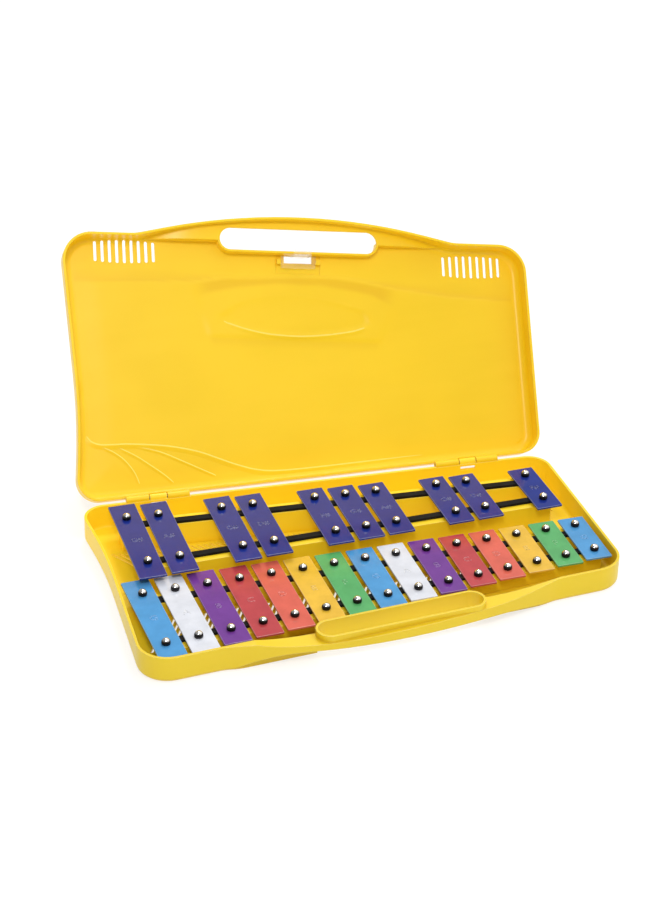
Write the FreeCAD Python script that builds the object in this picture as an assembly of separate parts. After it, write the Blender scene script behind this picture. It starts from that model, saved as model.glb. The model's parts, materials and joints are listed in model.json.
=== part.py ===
import FreeCAD, Part
import math
import os

# Glockenspiel in a hinged carrying case, modelled open.
# X runs along the bar rows, low notes at -X. Y runs to the rear, +Z is up.
# Z = 0 is the underside of the tray. All lengths in millimetres, angles in degrees.

V = FreeCAD.Vector

# ---- bars -------------------------------------------------------------------
BAR_PITCH = 28.0          # centre to centre, one natural to the next
BAR_WIDTH = 24.0
BAR_THICK = 2.0
BAR_CORNER = 0.8
NATURALS = 15
SHARP_STEPS = (0, 1, 3, 4, 6, 7, 8, 10, 11, 13)   # gaps between naturals that carry a sharp
NAT_TOP = 20.0            # top face of the naturals
SHARP_TOP = 27.7          # top face of the sharps
BAR_HOLE_R = 2.1

# ---- screws -----------------------------------------------------------------
SCREW_R = 1.6
HEAD_R = 3.9
HEAD_CENTRE = 1.5         # centre of the ball head above the bar
SCREW_BITE = 9.0          # length held in the tray

# ---- rails ------------------------------------------------------------------
RAIL_W = 6.6
RAIL_H = 2.5
NAT_RAIL_HALF = 199.5     # rails of the naturals run from -199.5 to +199.5
SHARP_RAIL_HALF = 186.0
RAIL_INSET = 6.4          # rail centre inboard of its screw line
RAIL_INSET_FRONT = 5.0    # same, front rail of the sharps

# ---- case -------------------------------------------------------------------
RIM = 24.0                # parting plane
CASE_TOP = 47.0           # outside of the closed lid
GAP = 0.3                 # between closed lid and tray
WALL = 2.2
FLOOR = 2.0
TRAY_ROUND = 4.5
LID_ROUND = 7.0
FRONT_Y = -113.83         # front face at x = 0
FRONT_SLOPE = 0.0438      # the case narrows towards the short bars
REAR_Y = 106.57           # rear face at x = 0
REAR_SLOPE = -0.0766
LEFT_X = -217.5
WAIST_X = -212.0
LEFT_FRONT_X = -222.5
RIGHT_X = 215.5
RIGHT_FRONT_X = 212.0
LEFT_FRONT_R = 26.0
RIGHT_FRONT_R = 27.0

# ---- handle -----------------------------------------------------------------
CREASE_L = -154.0         # where the handle bulge leaves the front face
CREASE_R = 143.0
BULGE_APEX = 33.5         # height of the crossing of the bulge's end tangents
BULGE_R = 560.0
CREASE_ROUND = 45.0
SHELF_Z = 19.0            # lowered top of the tray's half of the handle
GRIP_UNDER = 11.5         # underside of the handle above the table
HOLE_X = -0.5
HOLE_Y = -116.5
HOLE_HALF_W = 10.4
HOLE_HALF_L = 73.5
RING_WALL = 2.0
LID_HOLE_X = -1.8
LID_HOLE_Y = -113.5
LID_HOLE_HALF_W = 10.1
LID_HOLE_HALF_L = 74.0

# ---- hinge ------------------------------------------------------------------
HINGE_Y = 108.58          # axis at x = 0
OPEN_ANGLE = 126.0        # how far the lid is thrown back
PIN_R = 1.5
BORE_CLEAR = 0.05
PRESS = 0.01
KNUCKLE_R = 3.6
NOTCH_R = 4.0
KNUCKLES = ((-173.5, -153.2, -152.3, -137.4, -136.5, -116.6),
            (112.4, 134.4, 135.3, 150.4, 151.3, 171.6))

# ---- latch ------------------------------------------------------------------
LATCH_X = -1.2
LATCH_Y = -104.08
LATCH_SWING = 6.0
PIVOT_V = 9.0
PIVOT_Z = 43.0
TRUNNION_R = 1.2

# ---- ventilation ------------------------------------------------------------
LID_VENTS = 9
LID_VENT_W = 2.8
FLOOR_VENT_PITCH = BAR_PITCH / 5.0
FLOOR_VENTS = 79
FLOOR_VENT_W = 2.5
FLOOR_VENT_LEAN = 0.6     # sideways run of a floor slot for each millimetre along Y

HINGE_P = V(0, HINGE_Y, RIM)
HINGE_A = V(1.0, REAR_SLOPE, 0)
HINGE_A.normalize()
HINGE_DEG = math.degrees(math.atan(REAR_SLOPE))
FRONT_DEG = math.degrees(math.atan(FRONT_SLOPE))


# ---- plan curves ------------------------------------------------------------
def front_y(x):
    return FRONT_Y + FRONT_SLOPE * x


def rear_y(x):
    return REAR_Y + REAR_SLOPE * x


def rounded_face(corners, z):
    """Flat face bounded by (x, y, r) corners, each rounded by its own radius."""
    count = len(corners)
    arcs = []
    for i in range(count):
        x, y, r = corners[i]
        p = V(x, y, z)
        a = V(corners[i - 1][0], corners[i - 1][1], z) - p
        b = V(corners[(i + 1) % count][0], corners[(i + 1) % count][1], z) - p
        a.normalize()
        b.normalize()
        if r <= 0:
            arcs.append((p, None, p))
            continue
        half = a.getAngle(b) / 2.0
        run = r / math.tan(half)
        mid = a + b
        mid.normalize()
        centre = p + mid * (r / math.sin(half))
        arcs.append((p + a * run, centre - mid * r, p + b * run))
    edges = []
    for i in range(count):
        start, mid, end = arcs[i]
        if mid is not None:
            edges.append(Part.Arc(start, mid, end).toShape())
        after = arcs[(i + 1) % count][0]
        if (after - end).Length > 1e-4:
            edges.append(Part.makeLine(end, after))
    return Part.Face(Part.Wire(Part.__sortEdges__(edges)))


def inset(corners, d):
    """Corner list moved inwards by d. The list runs anticlockwise."""
    count = len(corners)
    out = []
    for i in range(count):
        x, y, r = corners[i]
        px, py, _ = corners[i - 1]
        nx, ny, _ = corners[(i + 1) % count]
        ax, ay = x - px, y - py
        bx, by = nx - x, ny - y
        la = math.hypot(ax, ay)
        lb = math.hypot(bx, by)
        ax, ay, bx, by = ax / la, ay / la, bx / lb, by / lb
        turn = ax * by - ay * bx
        mx, my = -ay - by, ax + bx
        scale = d / (1.0 + ax * bx + ay * by)
        new_r = r - d if turn > 0 else r + d
        out.append((x + mx * scale, y + my * scale, max(new_r, 0.5)))
    return out


def tray_corners():
    return [
        (LEFT_X, rear_y(LEFT_X), 20.0),
        (WAIST_X, 45.0, 600.0),
        (LEFT_FRONT_X, front_y(LEFT_FRONT_X), LEFT_FRONT_R),
        (RIGHT_FRONT_X, front_y(RIGHT_FRONT_X), RIGHT_FRONT_R),
        (RIGHT_X, rear_y(RIGHT_X), 20.0),
    ]


def case_corners():
    main = tray_corners()
    mid = (CREASE_L + CREASE_R) / 2.0
    lean = math.radians(FRONT_DEG)
    apex_x = mid + BULGE_APEX * math.sin(lean)
    apex_y = front_y(mid) - BULGE_APEX * math.cos(lean)
    bulge = [
        (CREASE_L, front_y(CREASE_L), CREASE_ROUND),
        (apex_x, apex_y, BULGE_R),
        (CREASE_R, front_y(CREASE_R), CREASE_ROUND),
    ]
    return main[:3] + bulge + main[3:]


def slot_corners(cx, cy, half_l, half_w, degrees):
    a = math.radians(degrees)
    out = []
    for su, sv in ((-1, 1), (-1, -1), (1, -1), (1, 1)):
        u, v = su * half_l, sv * half_w
        x = cx + u * math.cos(a) - v * math.sin(a)
        y = cy + u * math.sin(a) + v * math.cos(a)
        out.append((x, y, half_w))
    return out


def prism(corners, z0, z1):
    return rounded_face(corners, z0).extrude(V(0, 0, z1 - z0))


def poly_prism(points, z0, z1):
    pts = [V(x, y, z0) for x, y in points]
    wire = Part.makePolygon(pts + [pts[0]])
    return Part.Face(wire).extrude(V(0, 0, z1 - z0))


def round_level(shape, z, radius):
    """Fillet every edge that lies in the plane z."""
    edges = []
    for e in shape.Edges:
        box = e.BoundBox
        if abs(box.ZMin - z) < 1e-4 and abs(box.ZMax - z) < 1e-4:
            edges.append(e)
    return shape.makeFillet(radius, edges)


def fuse_all(shape, others):
    return shape.multiFuse(others).removeSplitter()


def cut_all(shape, others):
    return shape.cut(Part.makeCompound(others))


# ---- the handle's rise and fall along x ---------------------------------------
def shelf_curve(offset):
    """Top of the tray's half of the handle: full height at both creases."""
    pts = [(-128, RIM), (-112, RIM - 3.0), (-92, SHELF_Z), (-20, SHELF_Z - 0.6),
           (60, SHELF_Z), (108, SHELF_Z + 0.4), (129, RIM - 2.6), (148, RIM)]
    return [V(x, 0, z + offset) for x, z in pts]


def under_curve(level=None):
    """Underside of the handle; with a level, the same curve hanging below it on the lid."""
    pts = [(-152, 0.0), (-133, 7.0), (-112, GRIP_UNDER), (-70, GRIP_UNDER + 0.5), (0, GRIP_UNDER - 1.0),
           (60, GRIP_UNDER - 2.0), (100, 7.6), (132, 3.0), (148, 0.0)]
    if level is not None:
        return [V(x, 0, level - z) for x, z in pts]
    return [V(x, 0, z) for x, z in pts]


def side_block(curve, far_z, y0, y1):
    """Block in x and z between a curve and the level far_z, from y0 to y1."""
    spline = Part.BSplineCurve()
    spline.interpolate(curve)
    first = curve[0]
    last = curve[-1]
    low_a = V(first.x, 0, far_z)
    low_b = V(last.x, 0, far_z)
    edges = [spline.toShape(), Part.makeLine(last, low_b),
             Part.makeLine(low_b, low_a), Part.makeLine(low_a, first)]
    face = Part.Face(Part.Wire(Part.__sortEdges__(edges)))
    face.translate(V(0, y0, 0))
    return face.extrude(V(0, y1 - y0, 0))


def front_strip(shift, z0, z1):
    """Everything in front of the tray's front face moved back by shift."""
    xa, xb = -171.0, 164.0
    pts = [(xa, -170.0), (xb, -170.0), (xb, front_y(xb) + shift), (xa, front_y(xa) + shift)]
    return poly_prism(pts, z0, z1)


# ---- screw lines, bars ----------------------------------------------------------
def nat_x(k):
    return BAR_PITCH * (k - (NATURALS - 1) / 2.0)


def sharp_x(step):
    return nat_x(step) + BAR_PITCH / 2.0


def nat_span(x):
    """Front and rear end of the natural at x."""
    length = 91.0 - 0.1296 * x + 0.00003 * x * x
    centre = -52.8 + 0.0239 * x
    return centre - length / 2.0, centre + length / 2.0


def sharp_span(x):
    """Front and rear end of the sharp at x."""
    length = 90.7 - 0.1376 * x + 0.0001 * x * x
    front = -4.6 + 0.0154 * x - 0.000045 * x * x
    return front, front + length


def nat_turn(k):
    return 1.3 - 0.19 * k


def sharp_turn(i):
    return 0.17 * i - 1.0


# each line: y at x = 0, slope, side of the rail (-1 in front of the screws, +1 behind), inset
NAT_REAR = (-24.55, -0.0161, -1, RAIL_INSET)
NAT_FRONT = (-82.2, 0.0684, 1, RAIL_INSET)
SHARP_REAR = (69.9, -0.0925, -1, RAIL_INSET)
SHARP_FRONT = (12.9, -0.006, 1, RAIL_INSET_FRONT)


def line_y(line, x):
    return line[0] + line[1] * x


def band(line, x0, x1, d0, d1, z0, z1):
    """Prism along a screw line, from d0 to d1 beside it."""
    pts = [(x0, line_y(line, x0) + d0), (x1, line_y(line, x1) + d0),
           (x1, line_y(line, x1) + d1), (x0, line_y(line, x0) + d1)]
    if d0 > d1:
        pts.reverse()
    return poly_prism(pts, z0, z1)


def rail(line, reach, top):
    centre = line[2] * line[3]
    half = RAIL_W / 2.0
    return band(line, -reach, reach, centre - half, centre + half, top - RAIL_H, top)


def rib_sides(line):
    inner = line[2] * (line[3] + RAIL_W / 2.0 + 0.9)
    outer = -line[2] * 4.6
    return min(inner, outer), max(inner, outer)


def rib_shell(line, reach, top):
    """Upside-down channel that stands on the tray's floor."""
    lo, hi = rib_sides(line)
    shell = band(line, -reach, reach, lo, hi, FLOOR, top)
    return shell.cut(band(line, 2 - reach, reach - 2, lo + 2, hi - 2, FLOOR - 1.0, top - 2.2))


def screw_xs(row):
    if row == "nat":
        return [nat_x(k) for k in range(NATURALS)]
    return [sharp_x(s) for s in SHARP_STEPS]


def bosses(line, row, top):
    return [Part.makeCylinder(3.4, top - FLOOR - 1.0, V(x, line_y(line, x), FLOOR))
            for x in screw_xs(row)]


def bores(line, row, top):
    depth = SCREW_BITE + 0.5
    return [Part.makeCylinder(SCREW_R - PRESS, depth + 0.5, V(x, line_y(line, x), top - depth))
            for x in screw_xs(row)]


def bar(x, span, top, turn, line_a, line_b):
    """Bar lying loose on its two screws, turned a little about its own centre."""
    y0, y1 = span
    half = BAR_WIDTH / 2.0
    r = BAR_CORNER
    corners = [(x - half, y1, r), (x - half, y0, r), (x + half, y0, r), (x + half, y1, r)]
    plate = prism(corners, top - BAR_THICK, top)
    plate.rotate(V(x, (y0 + y1) / 2.0, 0), V(0, 0, 1), turn)
    holes = [Part.makeCylinder(BAR_HOLE_R, BAR_THICK + 2, V(x, line_y(ln, x), top - BAR_THICK - 1))
             for ln in (line_a, line_b)]
    return cut_all(plate, holes)


def screw(x, y, top):
    ball = Part.makeSphere(HEAD_R, V(x, y, top + HEAD_CENTRE))
    keep = Part.makeBox(20, 20, 20, V(x - 10, y - 10, top))
    foot = top - BAR_THICK - RAIL_H - SCREW_BITE
    shaft = Part.makeCylinder(SCREW_R, top - foot + 1.0, V(x, y, foot))
    return ball.common(keep).fuse(shaft)


def screws(line, row, top):
    return Part.makeCompound([screw(x, line_y(line, x), top) for x in screw_xs(row)])


# ---- hinge --------------------------------------------------------------------
def on_hinge(shape):
    """Move a shape built along X at the origin onto the hinge axis."""
    shape.rotate(V(0, 0, 0), V(0, 0, 1), HINGE_DEG)
    shape.translate(HINGE_P)
    return shape


def hinge_x(x):
    return x / HINGE_A.x


def tube_x(x0, x1, r):
    return Part.makeCylinder(r, x1 - x0, V(x0, 0, 0), V(1, 0, 0))


def knuckle_parts(group):
    return [hinge_x(x) for x in group]


def tray_hinge(tray):
    add = []
    cut = []
    bore = []
    for group in KNUCKLES:
        a, b, c, d, e, f = knuckle_parts(group)
        for x0, x1 in ((a, b), (e, f)):
            cut.append(on_hinge(tube_x(x0 - 0.6, x1 + 0.6, NOTCH_R)))
        add.append(on_hinge(tube_x(c, d, KNUCKLE_R)))
        add.append(on_hinge(Part.makeBox(d - c, 4.0, 1.9, V(c, -4.0, -1.9))))
        bore.append(on_hinge(tube_x(c - 1, d + 1, PIN_R - PRESS)))
        window = Part.makeBox(d - c - 1.0, 4.0, 3.4, V(c + 0.5, -5.0, -5.6))
        cut.append(on_hinge(window))
    tray = cut_all(tray, cut)
    tray = tray.multiFuse(add)
    return cut_all(tray, bore)


def lid_hinge(lid):
    """Knuckles, arms and stop heels, all in the closed position."""
    add = []
    cut = []
    bore = []
    for group in KNUCKLES:
        a, b, c, d, e, f = knuckle_parts(group)
        cut.append(on_hinge(tube_x(c - 0.6, d + 0.6, NOTCH_R)))
        for x0, x1 in ((a, b), (e, f)):
            add.append(on_hinge(tube_x(x0, x1, KNUCKLE_R)))
            add.append(on_hinge(Part.makeBox(x1 - x0, 4.0, KNUCKLE_R - GAP, V(x0, -4.0, GAP))))
            heel = Part.makeBox(x1 - x0 - 8, 3.0, 9.0, V(x0 + 4, -1.7, -9.0))
            heel.rotate(V(0, 0, 0), V(1, 0, 0), OPEN_ANGLE)
            add.append(on_hinge(heel))
            bore.append(on_hinge(tube_x(x0 - 1, x1 + 1, PIN_R + BORE_CLEAR)))
    lid = cut_all(lid, cut)
    lid = lid.multiFuse(add)
    return cut_all(lid, bore)


def hinge_pin(group):
    pts = knuckle_parts(group)
    return on_hinge(tube_x(pts[0] + 0.3, pts[5] - 0.3, PIN_R))


def open_lid(shape):
    out = shape.copy()
    out.rotate(HINGE_P, HINGE_A, -OPEN_ANGLE)
    return out


# ---- latch --------------------------------------------------------------------
def on_front(shape):
    """Local u, v, z of the latch into the closed case."""
    shape.rotate(V(0, 0, 0), V(0, 0, 1), FRONT_DEG)
    shape.translate(V(LATCH_X, LATCH_Y, 0))
    return shape


def latch_closed():
    plate = Part.makeBox(32.0, 11.4, 2.3, V(-16, 3.6, 41.7))
    leg = Part.makeBox(16.0, 2.0, 22.8, V(-8, 3.6, 21.2))
    tooth = Part.makeBox(16.0, 5.0, 1.2, V(-8, -1.2, 21.2))
    stub = Part.makeCylinder(TRUNNION_R, 38.8, V(-19.4, PIVOT_V, PIVOT_Z), V(1, 0, 0))
    body = plate.multiFuse([leg, tooth, stub]).removeSplitter()
    return body


def latch_open():
    """Released by its swing, then carried round with the open lid."""
    body = latch_closed()
    body.rotate(V(0, PIVOT_V, PIVOT_Z), V(1, 0, 0), LATCH_SWING)
    return open_lid(on_front(body))


def lid_latch_seat(lid):
    hole = on_front(Part.makeBox(26.0, 6.4, 12.0, V(-13.0, 3.4, 44.0)))
    pocket = on_front(Part.makeBox(41.6, 17.0, 3.0, V(-20.8, 3.0, CASE_TOP - FLOOR - 2.1)))
    posts = []
    seats = []
    for side in (-1, 1):
        x0 = 16.4 if side > 0 else -20.4
        posts.append(on_front(Part.makeBox(4.0, 5.0, 5.4, V(x0, PIVOT_V - 2.5, 40.8))))
        s0 = 15.0 if side > 0 else -19.7
        seats.append(on_front(Part.makeCylinder(TRUNNION_R + BORE_CLEAR, 4.7,
                                                V(s0, PIVOT_V, PIVOT_Z), V(1, 0, 0))))
    lid = lid.cut(hole).cut(pocket)
    lid = lid.multiFuse(posts)
    return cut_all(lid, seats)


# ---- ornament and vents of the lid ----------------------------------------------
def lid_lens():
    """Shallow almond-shaped panel with a soft frame line round it."""
    inner = CASE_TOP - FLOOR
    cx, cy = 0.0, -43.0
    half_l, half_w = 75.0, 17.5
    edges = []
    for side in (1, -1):
        mid = V(cx, cy + side * half_w, inner - 0.5)
        edges.append(Part.Arc(V(cx - half_l, cy, inner - 0.5), mid,
                              V(cx + half_l, cy, inner - 0.5)).toShape())
    lens = Part.Face(Part.Wire(Part.__sortEdges__(edges))).extrude(V(0, 0, 1.2))
    frame = [(-95, -79, 8), (-92, -27, 14), (74, -18, 14), (96, -68, 8)]
    line = prism(frame, inner - 0.5, inner + 0.4)
    return lens, line.cut(prism(inset(frame, 1.2), inner - 1.0, inner + 1.0))


def lid_vents():
    out = []
    for x0, y0, pitch in ((-189.2, -117.6, 6.65), (138.0, -98.4, 6.65)):
        for i in range(LID_VENTS):
            bow = 1.4 * (1.0 - ((i - 4) / 4.0) ** 2)
            x = x0 + pitch * i
            low = y0 + 0.035 * (x - x0) - bow
            high = y0 + 18.4 + 0.035 * (x - x0) + bow
            half = LID_VENT_W / 2.0
            corners = [(x - half, high, half), (x - half, low, half),
                       (x + half, low, half), (x + half, high, half)]
            out.append(prism(corners, CASE_TOP - 10, CASE_TOP + 5))
    return out


def floor_vents():
    """Two bands of leaning slots, one under each row of bars, leaning opposite ways."""
    out = []
    half = FLOOR_VENT_W / 2.0
    for i in range(FLOOR_VENTS):
        x = -218.4 + FLOOR_VENT_PITCH * i
        nat_hi = line_y(NAT_REAR, x) - NAT_REAR[3] - RAIL_W / 2.0 - 3.5
        nat_lo = line_y(NAT_FRONT, x) + NAT_FRONT[3] + RAIL_W / 2.0 + 6.0
        sharp_hi = line_y(SHARP_REAR, x) - SHARP_REAR[3] - RAIL_W / 2.0 - 4.0
        sharp_lo = 27.0
        for high, low, sign, limit in ((nat_hi, nat_lo, 1.0, 209.0), (sharp_hi, sharp_lo, -1.0, 203.0)):
            run = sign * FLOOR_VENT_LEAN * (high - low) / 2.0
            if abs(x - run) > limit or abs(x + run) > limit:
                continue
            pts = [(x + run - half, high), (x - run - half, low),
                   (x - run + half, low), (x + run + half, high)]
            out.append(poly_prism(pts, -1.0, FLOOR + 1.0))
    return out


# ---- tray ---------------------------------------------------------------------
def ring_corners(wall):
    return slot_corners(HOLE_X, HOLE_Y, HOLE_HALF_L + wall, HOLE_HALF_W + wall, FRONT_DEG)


def lid_ring_corners(wall):
    return slot_corners(LID_HOLE_X, LID_HOLE_Y, LID_HOLE_HALF_L + wall,
                        LID_HOLE_HALF_W + wall, FRONT_DEG)


def make_tray():
    tray = round_level(prism(case_corners(), 0, RIM), 0, TRAY_ROUND)
    cavity = prism(inset(tray_corners(), WALL), FLOOR, RIM + 5)
    tray = tray.cut(round_level(cavity, FLOOR, 3.0))
    shelf_cut = side_block(shelf_curve(0), RIM + 5, -170, -90)
    tray = tray.cut(shelf_cut.common(front_strip(WALL + 0.5, 0, RIM + 6)))
    under_shelf = side_block(shelf_curve(-2.2), -2.0, -170, -90)
    hollow = prism(inset(case_corners(), WALL), -1.0, RIM)
    hollow = hollow.common(front_strip(0, -2, RIM)).common(under_shelf)
    tray = tray.cut(hollow.cut(prism(ring_corners(RING_WALL), -2, RIM + 1)))
    tray = tray.fuse(prism(ring_corners(RING_WALL), 0, RIM))
    under_cut = side_block(under_curve(), -3.0, -170, -90)
    tray = tray.cut(under_cut.common(front_strip(0, -4, RIM)))
    tray = tray.cut(prism(ring_corners(0), -1, RIM + 1))
    catch = on_front(Part.makeBox(17.2, 2.1, 2.6, V(-8.6, -1.5, 20.5)))
    return tray.cut(catch)


def rows():
    nat = NAT_TOP - BAR_THICK - RAIL_H
    sharp = SHARP_TOP - BAR_THICK - RAIL_H
    return ((NAT_REAR, "nat", nat), (NAT_FRONT, "nat", nat),
            (SHARP_REAR, "sharp", sharp), (SHARP_FRONT, "sharp", sharp))


def bridge(line, row, top):
    """Hollow bridge under one rail, with a post under each screw."""
    reach = NAT_RAIL_HALF if row == "nat" else SHARP_RAIL_HALF
    shape = rib_shell(line, reach + 2.0, top).multiFuse(bosses(line, row, top))
    return cut_all(shape, bores(line, row, top))


# ---- lid ----------------------------------------------------------------------
def make_lid():
    """Open shell; behind the handle its skin comes down to leave room for the fingers."""
    low = RIM + GAP
    lid = round_level(prism(case_corners(), low, CASE_TOP), CASE_TOP, LID_ROUND)
    dip = side_block(under_curve(CASE_TOP), CASE_TOP + 4, -170, -90)
    lid = lid.cut(dip.common(front_strip(0, 0, CASE_TOP + 6)))
    cavity = prism(inset(case_corners(), WALL), low - 5, CASE_TOP - FLOOR)
    cavity = round_level(cavity, CASE_TOP - FLOOR, 6.5)
    dip_skin = side_block(under_curve(CASE_TOP - FLOOR), CASE_TOP + 4, -170, -90)
    cavity = cavity.cut(dip_skin.common(front_strip(WALL, 0, CASE_TOP + 6)))
    cavity = cavity.cut(dip_skin.common(prism(lid_ring_corners(RING_WALL), 0, CASE_TOP + 5)))
    lid = lid.cut(cavity)
    return lid.cut(prism(lid_ring_corners(0), 0, CASE_TOP + 5))


def ornament(lid):
    lens, frame = lid_lens()
    lid = lid.cut(lens)
    lid = lid.cut(frame)
    return cut_all(lid, lid_vents())


# ---- everything ---------------------------------------------------------------
def save(name, shape):
    if not shape.isValid():
        print("not valid:", name)
    solids = shape.Solids
    print(name, "solids", len(solids), "volume", round(shape.Volume / 1000.0, 2), "cm3")
    shape.exportStep("parts/" + name + ".step")


def main():
    os.makedirs("parts", exist_ok=True)
    tray = cut_all(make_tray(), floor_vents())
    save("base_tray", tray_hinge(tray))
    lid = lid_hinge(lid_latch_seat(ornament(make_lid())))
    save("lid", open_lid(lid))
    save("lid_latch", latch_open())
    for name, spec in zip(("natural_rear", "natural_front", "sharp_rear", "sharp_front"), rows()):
        save("bridge_" + name, bridge(*spec))
    for side, group in zip(("left", "right"), KNUCKLES):
        save("hinge_pin_" + side, hinge_pin(group))
    nat_under = NAT_TOP - BAR_THICK
    sharp_under = SHARP_TOP - BAR_THICK
    save("rail_natural_rear", rail(NAT_REAR, NAT_RAIL_HALF, nat_under))
    save("rail_natural_front", rail(NAT_FRONT, NAT_RAIL_HALF, nat_under))
    save("rail_sharp_rear", rail(SHARP_REAR, SHARP_RAIL_HALF, sharp_under))
    save("rail_sharp_front", rail(SHARP_FRONT, SHARP_RAIL_HALF, sharp_under))
    for k in range(NATURALS):
        x = nat_x(k)
        save("bar_natural_%02d" % (k + 1), bar(x, nat_span(x), NAT_TOP, nat_turn(k),
                                              NAT_REAR, NAT_FRONT))
    for i, step in enumerate(SHARP_STEPS):
        x = sharp_x(step)
        save("bar_sharp_%02d" % (i + 1), bar(x, sharp_span(x), SHARP_TOP, sharp_turn(i),
                                            SHARP_REAR, SHARP_FRONT))
    save("screws_natural_rear", screws(NAT_REAR, "nat", NAT_TOP))
    save("screws_natural_front", screws(NAT_FRONT, "nat", NAT_TOP))
    save("screws_sharp_rear", screws(SHARP_REAR, "sharp", SHARP_TOP))
    save("screws_sharp_front", screws(SHARP_FRONT, "sharp", SHARP_TOP))


main()
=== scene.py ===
import json
import math
import bpy
import bmesh
from mathutils import Matrix, Vector


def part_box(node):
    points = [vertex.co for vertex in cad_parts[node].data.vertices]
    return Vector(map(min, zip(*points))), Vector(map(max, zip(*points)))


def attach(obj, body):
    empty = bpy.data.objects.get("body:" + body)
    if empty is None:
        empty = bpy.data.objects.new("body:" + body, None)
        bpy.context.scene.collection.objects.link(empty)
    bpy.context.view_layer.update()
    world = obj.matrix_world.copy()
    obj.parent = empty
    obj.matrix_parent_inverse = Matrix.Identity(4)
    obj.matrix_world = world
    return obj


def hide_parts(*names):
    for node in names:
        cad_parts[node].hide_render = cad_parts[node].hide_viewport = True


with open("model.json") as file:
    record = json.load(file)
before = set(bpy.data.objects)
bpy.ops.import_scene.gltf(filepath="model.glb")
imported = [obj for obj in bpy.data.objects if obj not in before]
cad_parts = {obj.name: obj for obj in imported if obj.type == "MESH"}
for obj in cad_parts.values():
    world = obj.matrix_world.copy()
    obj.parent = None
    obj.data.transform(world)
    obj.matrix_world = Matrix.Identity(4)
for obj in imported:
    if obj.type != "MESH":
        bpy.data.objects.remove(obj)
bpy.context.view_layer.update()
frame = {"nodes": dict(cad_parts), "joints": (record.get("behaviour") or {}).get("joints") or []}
nodes = frame["nodes"]
MM = 0.001

# X runs along the bar rows with the low notes at -X, Y to the rear, and Z = 0 is the underside.
# Shapes are in millimetres and angles in degrees. Materials, lights, floor and camera are in
# metres.

# ---- bars -------------------------------------------------------------------------
BAR_W = 24.0
CAD_CORNER = 0.8             # plan corner of the CAD bar, for reading its length from its box
BAR_CORNER = 0.9             # plan corner of the detailed bar
BAR_EDGE = 0.5               # rounding of its edges
LEAST_CORNER = 0.12          # plan corner left at the innermost ring of a rounded edge
WORN_FROM = 0.45             # the enamel is worn from this far below the top face
WORN_TO = 0.01               # up to this far below it
NATURAL_TURN = 1.3           # turn of the first natural on its screws
NATURAL_TURN_STEP = -0.19    # and what each next one adds
SHARP_TURN = -1.0
SHARP_TURN_STEP = 0.17
NATURAL_LETTER = 9.5         # height of the stamped note names
SHARP_LETTER = 8.0
LETTER_WIRE = 0.16
LETTER_LIFT = 0.02
STAMP_INDEX = 1              # a bar's materials are its enamel, its stamp and its worn edge
WORN_INDEX = 2
NOTE_NAMES = "GABCDEF"       # of the naturals, from the lowest up
COLOURS = ("light_blue", "white", "purple", "dark_red", "red_orange", "yellow_orange", "green")

# ---- screws -----------------------------------------------------------------------
SCREW_R = 1.6
SHAFT = 13.5                 # length of the shaft below the bar's top face
SKIRT = ((3.35, 0.02), (3.62, 0.12))   # radius and height of the foot of the ball head
HEAD_R = 3.9
HEAD_CENTRE = 1.5            # centre of the ball above the bar's top face
HEAD_FROM = -16.0            # the ball starts at this latitude
HEAD_STEPS = 12
LATHE_SEGMENTS = 28
NATURAL_REAR = (-24.55, -0.0161)       # y at x = 0 and slope of each row of screws
NATURAL_FRONT = (-82.2, 0.0684)
SHARP_REAR = (69.9, -0.0925)
SHARP_FRONT = (12.9, -0.006)

# ---- inner face of the lid, in the plan of the closed lid ----------------------------
LID_FACE_Z = 45.0
FACE_INSET = 9.4             # border of the face, in from the outside of the lid
LEFT_SIDE = ((-123.6, -222.5), (45.0, -212.0), (123.0, -217.5))   # y and x of the outside
RIGHT_X = 213.88             # outside at y = 0, and its slope
RIGHT_SLOPE = 0.018
REAR_Y = 106.57              # outside at x = 0, and its slope
REAR_SLOPE = -0.0766
FACE_FRONT = ((-215, -94), (-135, -93), (-60, -83.4), (20, -83.0), (80, -78), (125, -74.5),
              (210, -73))
HINGE_CORNER_R = 12.0
FACE_COLUMNS = 168
FACE_ROWS = 84
BORDER_SINK = 0.03           # the skin's border lies this far inside the CAD lid
PAINTED_SHADE_FADE = 6.0            # the painted shade fades out this close to the face's front border

SKIN = 0.02                  # least height of the skin above the CAD lid
STEP_RISE = 0.46             # height of the soft step behind the handle
STEP_SOFT = 4.0              # length of its slope
STEP_FADE = 26.0             # it dies out over this distance from the border
STEP_LINE = ((-212, -81.7), (-163, -80.4), (-100, -79.5), (-84, -81.5), (-70, -83.6), (-42, -86.0),
             (-9, -86.3), (29, -82.6), (56, -77.3), (91, -69), (141, -60.6), (212, -54))
SCOOP_LINE = ((-96, -64), (-86, -68.1), (-59, -72.7), (-22, -75.1), (18, -72.8), (55, -65.7),
              (68, -62.4), (86, -52))
SCOOP_LEFT = ((-60.2, -96.0), (-27.8, -87.6))     # y and x of the ends of the scoop's sides
SCOOP_RIGHT = ((-50.8, 85.7), (-19.3, 72.3))
SCOOP_REAR = ((-87.6, -27.8), (72.3, -19.3))      # x and y of the ends of its rear border
SCOOP_LOW = 0.06             # height of the scoop's front end and of the lens
SCOOP_RISE = 0.95            # what its rear end rises above that
SCOOP_RISE_FROM = -75.0
SCOOP_RISE_OVER = 50.0
SCOOP_SIDE_SOFT = 5.0        # length of the slopes at its sides and at its rear
SCOOP_REAR_SOFT = 4.0
LENS_ENDS = (-77.0, 62.0)
LENS_REAR_SOFT = 2.5         # length of the slopes round the lens
LENS_FRONT_SOFT = 3.0
LENS_REAR = ((-78, -46), (-74, -41.2), (-55, -34.2), (-35, -29.1), (-15, -26.5), (3, -25.7),
             (26, -26.8), (47, -29.4), (58, -32.5), (63, -38))
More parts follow.
